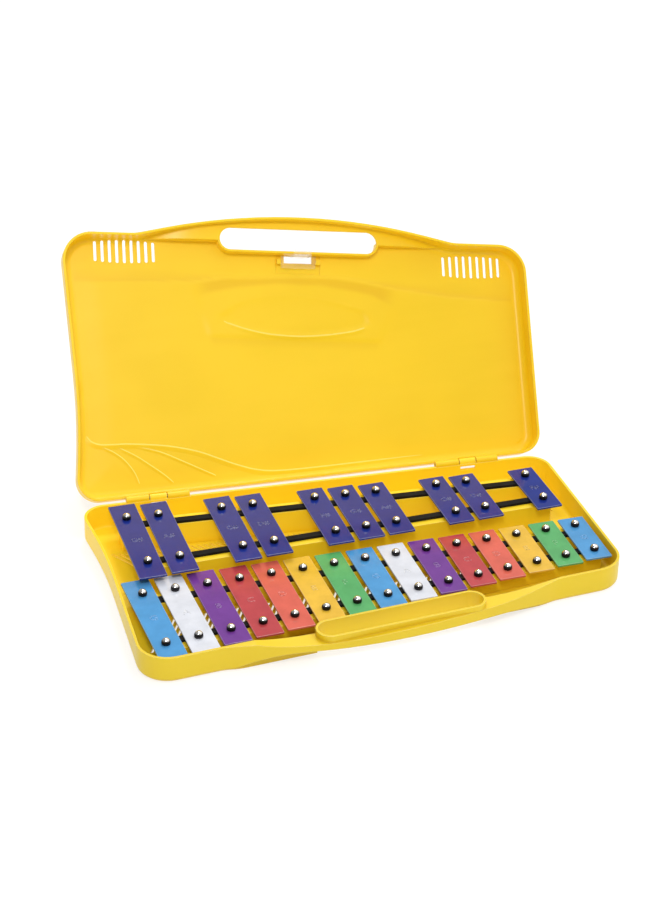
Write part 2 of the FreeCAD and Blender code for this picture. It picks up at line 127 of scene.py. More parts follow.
LENS_FRONT = ((-78, -46), (-64, -55.6), (-52, -60.4), (-33, -62.7), (-13, -63.2), (10, -60.7),
              (38, -54.7), (58, -48.2), (63, -38))
STEP_SHADE = 0.30            # darkness of the painted shade before the step
STEP_SHADE_OVER = 6.0        # it dies out over about this distance
STEP_SHADE_SOFT = 2.0        # and stops softly over this one behind the step
SLOPE_SHADE = 0.40           # darkness of the painted shade on the slope from the step into the scoop
SLOPE_SHADE_OUT = 4.0        # it reaches this far past the scoop's sides
SLOPE_SHADE_FADE = 22.0      # where it has faded in over this distance
SLOPE_SHADE_INTO = 2.0       # it reaches this far into the scoop
SLOPE_SHADE_SOFT = 5.0       # softness of its start and its end
REAR_SHADE = 0.16            # darkness of the painted shade in a band behind the scoop
REAR_SHADE_WIDE = 11.0       # width of that band
REAR_SHADE_START = 3.0       # softness of its start and its end
REAR_SHADE_END = 8.0

# ---- moulded lines on the lid ---------------------------------------------------------
SWEEP = ((-204, 60), (-200, 65.5), (-192, 68.7), (-180, 69), (-165, 69), (-138, 71), (-119, 74),
         (-101, 78.5), (-84, 85), (-68, 91), (-50, 96), (-28, 97.5), (20, 94.5), (110, 87))
RAYS = (((-190, 71), (-180, 76), (-170, 84), (-162, 95), (-158, 105)),
        ((-176, 71.5), (-160, 80), (-147, 89), (-136, 97), (-127, 105)),
        ((-158, 71.5), (-138, 77), (-120, 85), (-103, 93), (-88, 100)))
CURVE_STEPS = 8              # steps between two points of a moulded line
LINE_END = 0.12              # part of a line's length over which each end rises
LINE_FOOT = 0.05             # the feet of a line lie this far inside the face
LINE_END_SINK = 0.04         # and its ends this far
HIGHLIT_STRIPS = 3              # strips of a line, from its steep side, that carry a painted highlight
HIGHLIGHT_INDEX = 1               # the lines' materials are the lid's yellow and a pale yellow for the painted highlight

# ---- camera, floor and light, in metres -----------------------------------------------
CAMERA_PLACE = (-0.5786, -1.5673, 1.0852)
CAMERA_TURN = (61.172, -1.521, -19.447)
CAMERA_LENS = 91.03                    # lens and sensor in millimetres
CAMERA_SENSOR = 36.0
CAMERA_SHIFT = (-0.0342, -0.0587)      # part of the sensor's width
FLOOR_HALF = 12.0
FLOOR_Z = -0.0003
FLOOR_GLOW = 0.70
DOME_TOWARDS = (0.55, 0.0, 0.835)      # the brightest part of the studio dome
DOME_STRENGTH = 1.3

# ---- colours ----------------------------------------------------------------------
WHITE = (1.0, 1.0, 1.0)
BLACK = (0.0, 0.0, 0.0)
FLOW_TINT = (1.0, 0.67, 0.035)         # streaks in the moulded plastic
EDGE_HIGHLIGHT_COLOUR = (1.0, 0.84, 0.30)             # pale colour of the painted highlight on its edges
PAINTED_GLOW_COLOUR = (1.0, 0.60, 0.008, 1.0)     # colour of the painted glow, which stands in for light that has come through it
BAR_RGB = {
    "light_blue": (0.076, 0.30, 0.60),
    "white": (0.67, 0.69, 0.75),
    "purple": (0.160, 0.042, 0.275),
    "dark_red": (0.47, 0.058, 0.066),
    "red_orange": (0.66, 0.125, 0.085),
    "yellow_orange": (0.76, 0.46, 0.045),
    "green": (0.098, 0.39, 0.13),
    "indigo": (0.012, 0.028, 0.225),
}


# ---- shader node helpers ------------------------------------------------------------
def new_material(name):
    mat = bpy.data.materials.new(name)
    mat.use_nodes = True
    tree = mat.node_tree
    shader = tree.nodes.get("Principled BSDF")
    return mat, tree, shader


def set_sockets(node, values):
    for socket, value in values.items():
        node.inputs[socket].default_value = value


def coords(tree, scale=(1, 1, 1)):
    """Position on the object, stretched by scale."""
    tc = tree.nodes.new("ShaderNodeTexCoord")
    mp = tree.nodes.new("ShaderNodeMapping")
    mp.inputs["Scale"].default_value = scale
    tree.links.new(tc.outputs["Object"], mp.inputs["Vector"])
    return mp.outputs["Vector"]


def noise(tree, vector, scale, detail=3.0, rough=0.5):
    """Noise with about scale features to the metre."""
    n = tree.nodes.new("ShaderNodeTexNoise")
    set_sockets(n, {"Scale": scale, "Detail": detail, "Roughness": rough})
    tree.links.new(vector, n.inputs["Vector"])
    return n.outputs["Fac"]


def ramp(tree, fac, stops):
    """Colour that goes through stops of (position, colour) as fac rises."""
    r = tree.nodes.new("ShaderNodeValToRGB")
    while len(r.color_ramp.elements) < len(stops):
        r.color_ramp.elements.new(0.5)
    for element, (pos, colour) in zip(r.color_ramp.elements, stops):
        element.position = pos
        element.color = (*colour, 1.0)
    tree.links.new(fac, r.inputs["Fac"])
    return r.outputs["Color"]


def map_range(tree, value, start, end, low, high):
    """Value that goes from low to high as the input goes from start to end."""
    m = tree.nodes.new("ShaderNodeMapRange")
    set_sockets(m, {"From Min": start, "From Max": end, "To Min": low, "To Max": high})
    tree.links.new(value, m.inputs["Value"])
    return m.outputs["Result"]


def span(tree, fac, low, high):
    """Noise, which stays mostly between a quarter and three quarters, spread from low to high."""
    return map_range(tree, fac, 0.25, 0.75, low, high)


def product(tree, a, b):
    """Product of a socket and another socket or a number."""
    m = tree.nodes.new("ShaderNodeMath")
    m.operation = "MULTIPLY"
    tree.links.new(a, m.inputs[0])
    if isinstance(b, float):
        m.inputs[1].default_value = b
    else:
        tree.links.new(b, m.inputs[1])
    return m.outputs["Value"]


def mix_colour(tree, fac, a, b):
    """Colour that goes from a to b with fac; each is a colour or a socket."""
    m = tree.nodes.new("ShaderNodeMix")
    m.data_type = "RGBA"
    tree.links.new(fac, m.inputs["Factor"])
    colour_a, colour_b, result = m.inputs[6], m.inputs[7], m.outputs[2]
    for socket, value in ((colour_a, a), (colour_b, b)):
        if isinstance(value, tuple):
            socket.default_value = (*value, 1.0)
        else:
            tree.links.new(value, socket)
    return result


def soft_normal(tree, radius):
    """Normal as if the edges were rounded by radius."""
    soft = tree.nodes.new("ShaderNodeBevel")
    soft.samples = 6
    soft.inputs["Radius"].default_value = radius
    return soft.outputs["Normal"]


def bump(tree, shader, layers, edge=0.0):
    """Chain of (height, strength, distance) bumps into the shader's normal, over softened edges."""
    last = soft_normal(tree, edge) if edge else None
    for height, strength, distance in layers:
        b = tree.nodes.new("ShaderNodeBump")
        set_sockets(b, {"Strength": strength, "Distance": distance})
        tree.links.new(height, b.inputs["Height"])
        if last is not None:
            tree.links.new(last, b.inputs["Normal"])
        last = b.outputs["Normal"]
    tree.links.new(last, shader.inputs["Normal"])


def edges_and_creases(tree, radius, reach):
    """Two masks: 1 on outward edges, and 1 deep in inward corners."""
    geo = tree.nodes.new("ShaderNodeNewGeometry")
    dot = tree.nodes.new("ShaderNodeVectorMath")
    dot.operation = "DOT_PRODUCT"
    tree.links.new(soft_normal(tree, radius), dot.inputs[0])
    tree.links.new(geo.outputs["Normal"], dot.inputs[1])
    near = tree.nodes.new("ShaderNodeAmbientOcclusion")
    near.samples = 6
    near.inputs["Distance"].default_value = reach
    turned = ramp(tree, dot.outputs["Value"], [(0.72, WHITE), (0.97, BLACK)])
    open_air = ramp(tree, near.outputs["AO"], [(0.62, BLACK), (0.85, WHITE)])
    deep = ramp(tree, near.outputs["AO"], [(0.35, WHITE), (0.95, BLACK)])
    return product(tree, turned, open_air), deep


def shade(colour, k, lift=0.0):
    """Colour made k times as bright, and paler by lift."""
    return tuple(min(1.0, c * k + lift) for c in colour)


# ---- materials ------------------------------------------------------------------
def yellow_plastic(name, base, dark, edge_highlight=0.75, shadow=0.45, glow=0.0):
    """Glossy moulded plastic; glow is painted light, an emission that stands in for daylight coming
    through a thin wall.

    Edges get a painted highlight and inward corners a painted shade, in the two amounts after the
    dark colour.
    """
    mat, tree, s = new_material(name)
    vec = coords(tree)
    cloud = noise(tree, vec, 9.0, 2.0)
    flow = noise(tree, coords(tree, (6, 30, 30)), 1.2, 3.0)
    tint = ramp(tree, cloud, [(0.3, shade(base, 0.96)), (0.7, shade(base, 1.03))])
    streaked = mix_colour(tree, span(tree, flow, 0.0, 0.2), tint, FLOW_TINT)
    tree.links.new(painted_shade_and_highlight(tree, streaked, dark, edge_highlight, shadow), s.inputs["Base Color"])
    tree.links.new(span(tree, cloud, 0.30, 0.38), s.inputs["Roughness"])
    set_sockets(s, {
        "Specular IOR Level": 0.32,
        "Emission Color": PAINTED_GLOW_COLOUR,
        "Emission Strength": glow,
        "Subsurface Weight": 0.10,
        "Subsurface Radius": (0.006, 0.004, 0.001),
        "Subsurface Scale": 1.0,
    })
    grain = noise(tree, vec, 1400.0, 2.0)
    ripple = noise(tree, vec, 38.0, 2.0)
    bump(tree, s, [(ripple, 0.10, 0.0010), (grain, 0.12, 0.00006)], 0.0009)
    return mat


def painted_shade_and_highlight(tree, colour, dark, edge_highlight, shadow):
    """Colour with a painted shade in inward corners and where the mesh carries painted shade in an
    attribute, and a painted highlight on outward edges.
    """
    # painted shade of the creases, read from a mesh attribute
    painted_shade_node = tree.nodes.new("ShaderNodeAttribute")
    painted_shade_node.attribute_name = "painted_shade"
    with_painted_shade = mix_colour(tree, painted_shade_node.outputs["Fac"], colour, dark)
    # painted shade deep in inward corners and a painted highlight on outward edges, from the two
    # masks
    edge, deep = edges_and_creases(tree, 0.0010, 0.006)
    shaded = mix_colour(tree, product(tree, deep, shadow), with_painted_shade, dark)
    return mix_colour(tree, product(tree, edge, edge_highlight), shaded, EDGE_HIGHLIGHT_COLOUR)


def painted_glow_towards_rear(mat):
    """Painted light: a glow on the plastic that grows towards the rear of the case, standing in for
    daylight coming through it.
    """
    tree = mat.node_tree
    sep = tree.nodes.new("ShaderNodeSeparateXYZ")
    tree.links.new(coords(tree), sep.inputs["Vector"])
    glow = map_range(tree, sep.outputs["Y"], -0.09, 0.10, 0.0, 0.24)
    tree.links.new(glow, tree.nodes["Principled BSDF"].inputs["Emission Strength"])


def enamel(name, colour, rough=0.08):
    """Glossy paint with a faint orange peel and specks of dust."""
    mat, tree, s = new_material(name)
    vec = coords(tree)
    patch = noise(tree, vec, 55.0, 4.0, 0.6)
    speck = noise(tree, vec, 900.0, 2.0, 0.7)
    tint = ramp(tree, patch, [(0.3, shade(colour, 0.90)), (0.72, shade(colour, 1.10))])
    dust = ramp(tree, speck, [(0.66, BLACK), (0.80, (0.5, 0.5, 0.5))])
    dusty = mix_colour(tree, dust, tint, shade(colour, 1.3, 0.06))
    tree.links.new(dusty, s.inputs["Base Color"])
    tree.links.new(span(tree, patch, rough - 0.04, rough + 0.05), s.inputs["Roughness"])
    s.inputs["Specular IOR Level"].default_value = 0.5
    brushed = noise(tree, coords(tree, (1.0, 0.06, 1.0)), 700.0, 2.0)
    bump(tree, s, [(patch, 0.12, 0.0004), (brushed, 0.08, 0.00005), (speck, 0.15, 0.00004)])
    return mat


def stamp_paint(name, colour):
    """Enamel on the raised note names, rubbed pale in patches."""
    mat, tree, s = new_material(name)
    patch = noise(tree, coords(tree), 600.0, 3.0)
    stops = [(0.35, shade(colour, 0.5)), (0.65, shade(colour, 1.1, 0.30))]
    tree.links.new(ramp(tree, patch, stops), s.inputs["Base Color"])
    tree.links.new(span(tree, patch, 0.2, 0.4), s.inputs["Roughness"])
    bump(tree, s, [(patch, 0.4, 0.0001)])
    return mat


def chrome():
    """Bright on the crown, with a painted dark reflection round the foot of each dome, where the
    normal turns away from straight up.
    """
    mat, tree, s = new_material("polished_chrome")
    haze = noise(tree, coords(tree), 260.0, 3.0)
    bright_metal = ramp(tree, haze, [(0.3, (0.70, 0.69, 0.66)), (0.7, (0.86, 0.85, 0.83))])
    tc = tree.nodes.new("ShaderNodeTexCoord")
    sep = tree.nodes.new("ShaderNodeSeparateXYZ")
    tree.links.new(tc.outputs["Normal"], sep.inputs["Vector"])
    # painted dark reflection: the colour goes nearly black as the normal turns from up towards the
    # side
    painted_dark_reflection = ramp(tree, sep.outputs["Z"], [(0.45, WHITE), (0.80, BLACK)])
    tree.links.new(mix_colour(tree, painted_dark_reflection, bright_metal, (0.03, 0.028, 0.03)), s.inputs["Base Color"])
    s.inputs["Metallic"].default_value = 1.0
    tree.links.new(span(tree, haze, 0.05, 0.12), s.inputs["Roughness"])
    bump(tree, s, [(haze, 0.05, 0.0001)])
    return mat


def dark_steel():
    """Drawn wire, with its scratches along X."""
    mat, tree, s = new_material("pin_wire")
    drawn = noise(tree, coords(tree, (0.05, 1, 1)), 2500.0, 2.0)
    stops = [(0.3, (0.10, 0.10, 0.10)), (0.7, (0.2, 0.19, 0.18))]
    tree.links.new(ramp(tree, drawn, stops), s.inputs["Base Color"])
    s.inputs["Metallic"].default_value = 1.0
    tree.links.new(span(tree, drawn, 0.3, 0.5), s.inputs["Roughness"])
    bump(tree, s, [(drawn, 0.2, 0.00003)])
    return mat


def rubber():
    """Black rubber with fine cells and a little dust."""
    mat, tree, s = new_material("black_rubber")
    vec = coords(tree)
    cells = noise(tree, vec, 1800.0, 3.0, 0.7)
    dust = noise(tree, vec, 90.0, 3.0)
    stops = [(0.35, (0.006, 0.006, 0.006)), (0.8, (0.02, 0.019, 0.017))]
    tree.links.new(ramp(tree, dust, stops), s.inputs["Base Color"])
    tree.links.new(span(tree, dust, 0.62, 0.8), s.inputs["Roughness"])
    s.inputs["Specular IOR Level"].default_value = 0.1
    bump(tree, s, [(cells, 0.4, 0.0002)])
    return mat


def clear_plastic():
    """Slightly hazy clear plastic."""
    mat, tree, s = new_material("clear_plastic")
    haze = noise(tree, coords(tree), 300.0, 3.0)
    stops = [(0.3, (0.93, 0.90, 0.86)), (0.7, (0.99, 0.97, 0.95))]
    tree.links.new(ramp(tree, haze, stops), s.inputs["Base Color"])
    tree.links.new(span(tree, haze, 0.06, 0.16), s.inputs["Roughness"])
    set_sockets(s, {"IOR": 1.49, "Transmission Weight": 0.85, "Alpha": 0.42})
    bump(tree, s, [(haze, 0.08, 0.0002)])
    return mat


# each yellow has a painted highlight on its edges and a painted shade in its inward corners; the
# lid's glow is painted light
YELLOW = yellow_plastic("moulded_yellow", base=(0.83, 0.55, 0.007), dark=(0.66, 0.34, 0.003),
                        edge_highlight=0.10, shadow=0.08, glow=0.11)
TRAY_YELLOW = yellow_plastic("moulded_yellow_tray", base=(0.77, 0.56, 0.018),
                             dark=(0.60, 0.34, 0.004))
# painted glow, stronger towards the rear of the case
painted_glow_towards_rear(TRAY_YELLOW)
# pale yellow for the painted highlight on the moulded lines
YELLOW_HIGHLIGHT = yellow_plastic("moulded_yellow_highlight", base=(1.0, 0.76, 0.12), dark=(0.9, 0.6, 0.05))
CHROME = chrome()
STEEL = dark_steel()
RUBBER = rubber()
CLEAR = clear_plastic()
ENAMEL = {n: enamel("enamel_" + n, c) for n, c in BAR_RGB.items()}
STAMP = {n: stamp_paint("stamp_" + n, c) for n, c in BAR_RGB.items()}
WORN = {n: enamel("enamel_worn_edge_" + n, shade(c, 0.85, 0.11), 0.25) for n, c in BAR_RGB.items()}


# ---- mesh helpers ---------------------------------------------------------------
def link(name, mesh, mats):
    obj = bpy.data.objects.new(name, mesh)
    bpy.context.scene.collection.objects.link(obj)
    for m in mats:
        mesh.materials.append(m)
    return obj


def finish_mesh(bm, name, mats):
    bmesh.ops.recalc_face_normals(bm, faces=bm.faces)
    mesh = bpy.data.meshes.new(name)
    bm.to_mesh(mesh)
    bm.free()
    for p in mesh.polygons:
        p.use_smooth = True
    return link(name, mesh, mats)


def join_rings(bm, rings):
    """Faces between closed rings of points, the last of which may be a single point."""
    count = len(rings[0])
    for low, high in zip(rings, rings[1:]):
        for i in range(count):
            j = (i + 1) % count
            if len(high) == 1:
                bm.faces.new((low[i], low[j], high[0]))
            else:
                bm.faces.new((low[i], low[j], high[j], high[i]))


def round_outline(half_x, half_y, r, steps=4):
    """Anticlockwise rounded rectangle about the origin."""
    pts = []
    for cx, cy, start in ((1, 1, 0), (-1, 1, 90), (-1, -1, 180), (1, -1, 270)):
        for i in range(steps + 1):
            a = math.radians(start + 90.0 * i / steps)
            pts.append((cx * (half_x - r) + r * math.cos(a), cy * (half_y - r) + r * math.sin(a)))
    return pts


def add_plate(bm, half_x, half_y, corner, z0, z1, edge, steps=3):
    """Plate about the origin with rounded edges."""
    turns = [math.radians(90.0 * i / steps) for i in range(steps + 1)]
    levels = [(edge * (1 - math.sin(a)), z0 + edge * (1 - math.cos(a))) for a in turns]
    levels += [(edge * (1 - math.cos(a)), z1 - edge * (1 - math.sin(a))) for a in turns]
    rings = []
    for inset, z in levels:
        pts = round_outline(half_x - inset, half_y - inset, max(corner - inset, LEAST_CORNER))
        rings.append([bm.verts.new((x * MM, y * MM, z * MM)) for x, y in pts])
    join_rings(bm, rings)
    bm.faces.new(list(reversed(rings[0])))
    bm.faces.new(rings[-1])


def add_lathe(bm, x, y, z, profile):
    """Turned shape: profile is a list of (radius, height) from the bottom up to its crown."""
    rings = []
    for r, h in profile:
        count = LATHE_SEGMENTS if r > 0 else 1
        ring = []
        for i in range(count):
            a = 2 * math.pi * i / count
            place = ((x + r * math.cos(a)) * MM, (y + r * math.sin(a)) * MM, (z + h) * MM)
            ring.append(bm.verts.new(place))
        rings.append(ring)
    join_rings(bm, rings)


def text_mesh(text, size):
    """Letters as raised outlines, centred on the origin, in millimetres."""
    curve = bpy.data.curves.new("letters", "FONT")
    curve.body = text
    curve.size = size
    curve.fill_mode = "NONE"
    curve.bevel_depth = LETTER_WIRE
    curve.bevel_resolution = 0
    curve.align_x = "CENTER"
    curve.align_y = "CENTER"
    curve.resolution_u = 3
    holder = bpy.data.objects.new("letters", curve)
    bpy.context.scene.collection.objects.link(holder)
    bpy.context.view_layer.update()
    mesh = bpy.data.meshes.new_from_object(holder.evaluated_get(
        bpy.context.evaluated_depsgraph_get()))
    bpy.data.objects.remove(holder)
    bpy.data.curves.remove(curve)
    return mesh


def add_letters(bm, text, size, z):
    """Letters about the origin at height z."""
    first = len(bm.faces)
    mesh = text_mesh(text, size)
    mesh.transform(Matrix.Translation((0, 0, z * MM)) @ Matrix.Scale(MM, 4))
    bm.from_mesh(mesh)
    bpy.data.meshes.remove(mesh)
    bm.faces.ensure_lookup_table()
    for f in bm.faces[first:]:
        f.material_index = STAMP_INDEX


# ---- bars -----------------------------------------------------------------------
NATURALS = sorted(n for n in nodes if n.startswith("bar_natural_"))
SHARPS = sorted(n for n in nodes if n.startswith("bar_sharp_"))


def middle(node):
    """Middle of a node's box, in millimetres."""
    low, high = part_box(node)
    return (low + high) / 2 / MM


def bar_length(node, turn):
    """Length of a bar that lies turned in its box."""
    low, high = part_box(node)
    a = math.radians(abs(turn))
    deep = (high.y - low.y) / MM - 2 * CAD_CORNER
    return (deep - (BAR_W - 2 * CAD_CORNER) * math.sin(a)) / math.cos(a) + 2 * CAD_CORNER


def make_bar(node, colour, text, letter, turn):
    """Enamelled bar with a stamped note name, turned a little on its screws."""
    low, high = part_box(node)
    centre = middle(node)
    bottom, top = low.z / MM, high.z / MM
    bm = bmesh.new()
    add_plate(bm, BAR_W / 2, bar_length(node, turn) / 2, BAR_CORNER, bottom, top, BAR_EDGE)
    bm.faces.ensure_lookup_table()
    for f in bm.faces:
        if WORN_TO < top - f.calc_center_median().z / MM < WORN_FROM:
            f.material_index = WORN_INDEX
    add_letters(bm, text, letter, top + LETTER_LIFT)
    place = Matrix.Translation((centre.x * MM, centre.y * MM, 0))
    place = place @ Matrix.Rotation(math.radians(turn), 4, "Z")
    bmesh.ops.transform(bm, matrix=place, verts=bm.verts)
    obj = finish_mesh(bm, node + "_enamelled", [ENAMEL[colour], STAMP[colour], WORN[colour]])
    normals = obj.modifiers.new("weighted", "WEIGHTED_NORMAL")
    normals.keep_sharp = True
    normals.weight = 80
    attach(obj, "tray")
    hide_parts(node)


def make_bars():
    """Naturals in the colours of their notes, and sharps named after the natural to their left."""
    notes = len(NOTE_NAMES)
    for k, node in enumerate(NATURALS):
        make_bar(node, COLOURS[k % notes], NOTE_NAMES[k % notes], NATURAL_LETTER,
                 NATURAL_TURN + NATURAL_TURN_STEP * k)
    for i, node in enumerate(SHARPS):
        left = sum(middle(n).x < middle(node).x for n in NATURALS) - 1
        make_bar(node, "indigo", NOTE_NAMES[left % notes] + "#", SHARP_LETTER,
                 SHARP_TURN + SHARP_TURN_STEP * i)


# ---- screws ---------------------------------------------------------------------
def head_profile():
    """Shaft, skirt and ball head of a screw, about the bar's top face."""
    pts = [(SCREW_R, -SHAFT), (SCREW_R, 0.0), *SKIRT]
    for i in range(HEAD_STEPS):
        a = math.radians(HEAD_FROM + (90.0 - HEAD_FROM) * i / HEAD_STEPS)
        pts.append((HEAD_R * math.cos(a), HEAD_CENTRE + HEAD_R * math.sin(a)))
    pts.append((0.0, HEAD_CENTRE + HEAD_R))
    return pts


def make_screws():
    """One piece for each row of screws."""
    rows = (("screws_natural_rear", NATURAL_REAR, NATURALS),
            ("screws_natural_front", NATURAL_FRONT, NATURALS),
            ("screws_sharp_rear", SHARP_REAR, SHARPS),
            ("screws_sharp_front", SHARP_FRONT, SHARPS))
    for node, (y_middle, slope), bars in rows:
        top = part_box(bars[0])[1].z / MM
        bm = bmesh.new()
        for bar in bars:
            x = middle(bar).x
            add_lathe(bm, x, y_middle + slope * x, top, head_profile())
        obj = finish_mesh(bm, node + "_domes", [CHROME])
        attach(obj, "tray")
        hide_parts(node)


# ---- relief of the lid's inner face -------------------------------------------------
# Drawn in the plan of the closed lid and then swung open with it.
LID_HINGE = next(j for j in frame["joints"] if j["name"] == "lid_hinge")
HINGE_POINT = Vector(LID_HINGE["pos_m"])
OPENING = Matrix.Rotation(math.radians(-LID_HINGE["range_deg"][1]), 3, Vector(LID_HINGE["axis"]))


def opened(x, y, z):
    """Closed-case position in millimetres to the rest pose in metres."""
    return OPENING @ (Vector((x * MM, y * MM, z * MM)) - HINGE_POINT) + HINGE_POINT


def on_line(t, a, b):
    """Second value at t, on the straight line through two pairs of values."""
    return a[1] + (b[1] - a[1]) * (t - a[0]) / (b[0] - a[0])


def along(points, t):
    """Second value at t, on a polyline that is held level past its ends."""
    if t <= points[0][0]:
        return points[0][1]
    for a, b in zip(points, points[1:]):
        if t <= b[0]:
            return on_line(t, a, b)
    return points[-1][1]


def smooth(t):
    """0 below 0 and 1 above 1, with a soft rise between."""
    t = min(1.0, max(0.0, t))
    return t * t * (3.0 - 2.0 * t)


def soft_step(distance, length):
    """Soft rise from 0 to 1 over a length, half done where the distance is 0."""
    return smooth(distance / length + 0.5)


def face_left(y):
    """Left border of the face at y."""
    return along(LEFT_SIDE, y) + FACE_INSET


def face_right(y):
    """Right border of the face at y."""
    return RIGHT_X + RIGHT_SLOPE * y - FACE_INSET


def face_rear(x):
    """Border of the face along the hinge at x."""
    return REAR_Y + REAR_SLOPE * x - FACE_INSET


def step_height(x, y):
    """Soft step behind the handle, dying out towards the border."""
    inside = min(x - face_left(y), face_right(y) - x, face_rear(x) - y)
    past = soft_step(y - along(STEP_LINE, x), STEP_SOFT)
    return SKIN + STEP_RISE * past * smooth(inside / STEP_FADE)


def scoop_height(x, y):
    """Ramp that rises to the rear, with the lens cut level into it."""
    rise = SCOOP_RISE * smooth((y - SCOOP_RISE_FROM) / SCOOP_RISE_OVER)
    lens = smooth((along(LENS_REAR, x) - y) / LENS_REAR_SOFT)
    lens *= smooth((y - along(LENS_FRONT, x)) / LENS_FRONT_SOFT)
    if not LENS_ENDS[0] < x < LENS_ENDS[1]:
        lens = 0.0
    return SCOOP_LOW + rise * (1.0 - lens)


def scoop_sides(y):
    """Left and right border of the scooped frame round the lens."""
    return on_line(y, *SCOOP_LEFT), on_line(y, *SCOOP_RIGHT)


def scoop_rear(x):
    """Rear border of the scooped frame."""
    return on_line(x, *SCOOP_REAR)


def between_sides(x, y):
    """1 between the sides of the scooped frame and 0 outside, with soft slopes."""
    left, right = scoop_sides(y)
    return soft_step(x - left, SCOOP_SIDE_SOFT) * soft_step(right - x, SCOOP_SIDE_SOFT)


def height_at(x, y):
    """Height of the skin above the lid's flat inner face."""
    step = along(STEP_LINE, x)
    scooped = between_sides(x, y) * soft_step(scoop_rear(x) - y, SCOOP_REAR_SOFT)
    scooped *= smooth((y - step) / (along(SCOOP_LINE, x) - step))
    return step_height(x, y) * (1.0 - scooped) + scoop_height(x, y) * scooped


def step_shade(x, y):
    """Painted shade, darkest along the step and dying out before it."""
    before = along(STEP_LINE, x) - y
    dying = math.exp(-max(before, 0.0) / STEP_SHADE_OVER)
    return STEP_SHADE * dying * soft_step(before, STEP_SHADE_SOFT)


def slope_shade(x, y):
    """Painted shade on the slope from the step into the scoop."""
    left, right = scoop_sides(y)
    fade = smooth((x - left + SLOPE_SHADE_OUT) / SLOPE_SHADE_FADE)
    fade *= smooth((right + SLOPE_SHADE_OUT - x) / SLOPE_SHADE_FADE)
    after_step = smooth((y - along(STEP_LINE, x)) / SLOPE_SHADE_SOFT)
    before_scoop = smooth((along(SCOOP_LINE, x) - y + SLOPE_SHADE_INTO) / SLOPE_SHADE_SOFT)
    return SLOPE_SHADE * fade * after_step * before_scoop


def rear_shade(x, y):
    """Faint band of painted shade behind the scoop."""
    behind = y - scoop_rear(x)
    band = smooth(behind / REAR_SHADE_START) * smooth((REAR_SHADE_WIDE - behind) / REAR_SHADE_END)
    return REAR_SHADE * between_sides(x, y) * band


def painted_shade_at(x, y):
    """How dark the painted shade is, from 0 to 1, in the creases and fading out at the front
    border.
    """
    dark = min(step_shade(x, y) + slope_shade(x, y) + rear_shade(x, y), 1.0)
    return dark * smooth((y - along(FACE_FRONT, x)) / PAINTED_SHADE_FADE)


def round_hinge_corner(x, y):
    """Pull a plan position in to the rounded corner at either end of the hinge side."""
    for side, edge in ((-1, face_left(y)), (1, face_right(y))):
        cx = edge - side * HINGE_CORNER_R
        cy = face_rear(edge) - HINGE_CORNER_R
        dx, dy = x - cx, y - cy
        if dx * side > 0 and dy > 0 and math.hypot(dx, dy) > HINGE_CORNER_R:
            k = HINGE_CORNER_R / math.hypot(dx, dy)
            x, y = cx + dx * k, cy + dy * k
    return x, y


def face_place(u, v):
    """Plan position over the lid's inner face, u from left to right and v from front to rear.

    The borders lean, so x and y depend on each other, and three rounds settle both.
    """
    x = face_left(0.0) + (face_right(0.0) - face_left(0.0)) * u
    for _ in range(3):
        y = along(FACE_FRONT, x) + (face_rear(x) - along(FACE_FRONT, x)) * v
        x = face_left(y) + (face_right(y) - face_left(y)) * u
    return round_hinge_corner(x, y)


def face_forward(obj):
    """Turn a lid piece's faces to the front, if they were made facing the rear."""
    if obj.data.polygons[len(obj.data.polygons) // 2].normal.y > 0:
        obj.data.flip_normals()
    return obj


def make_lid_face():
    """Thin skin that carries the soft step, the scooped frame and the lens of the lid."""
    bm = bmesh.new()
    # painted shade of the creases, kept in a mesh attribute that the lid's material reads
    painted_shade = bm.verts.layers.float.new("painted_shade")
    verts = []
    for j in range(FACE_ROWS + 1):
        line = []
        for i in range(FACE_COLUMNS + 1):
            x, y = face_place(i / FACE_COLUMNS, j / FACE_ROWS)
            border = i in (0, FACE_COLUMNS) or j in (0, FACE_ROWS)
            height = -BORDER_SINK if border else height_at(x, y)
            v = bm.verts.new(opened(x, y, LID_FACE_Z - height))
            v[painted_shade] = painted_shade_at(x, y)
            line.append(v)
        verts.append(line)
    for near, far in zip(verts, verts[1:]):
        for i in range(FACE_COLUMNS):
            bm.faces.new((near[i], near[i + 1], far[i + 1], far[i]))
    return face_forward(finish_mesh(bm, "lid_inner_face", [YELLOW]))


# ---- moulded lines on the lid -----------------------------------------------------------
def curve_through(points):
    """Catmull-Rom curve through plan points."""
    out = []
    count = len(points)
    for i in range(count - 1):
        p = [points[max(i - 1, 0)], points[i], points[i + 1], points[min(i + 2, count - 1)]]
        for n in range(CURVE_STEPS):
            t = n / CURVE_STEPS
            out.append(tuple(0.5 * (2 * b + (c - a) * t + (2 * a - 5 * b + 4 * c - d) * t * t
                                    + (3 * b - a - 3 * c + d) * t ** 3)
                             for a, b, c, d in zip(*p)))
    out.append(points[-1])
    return out


def line_profile(wall, tail):
    """Offset across a line and part of its full height, None for a foot inside the face."""
    return [(-0.6 * wall, None), (-0.2 * wall, 0.4), (0.2 * wall, 0.85), (0.5 * wall, 1.0),
            (1.0 * wall, 0.92), (0.5 * tail, 0.4), (tail, None)]


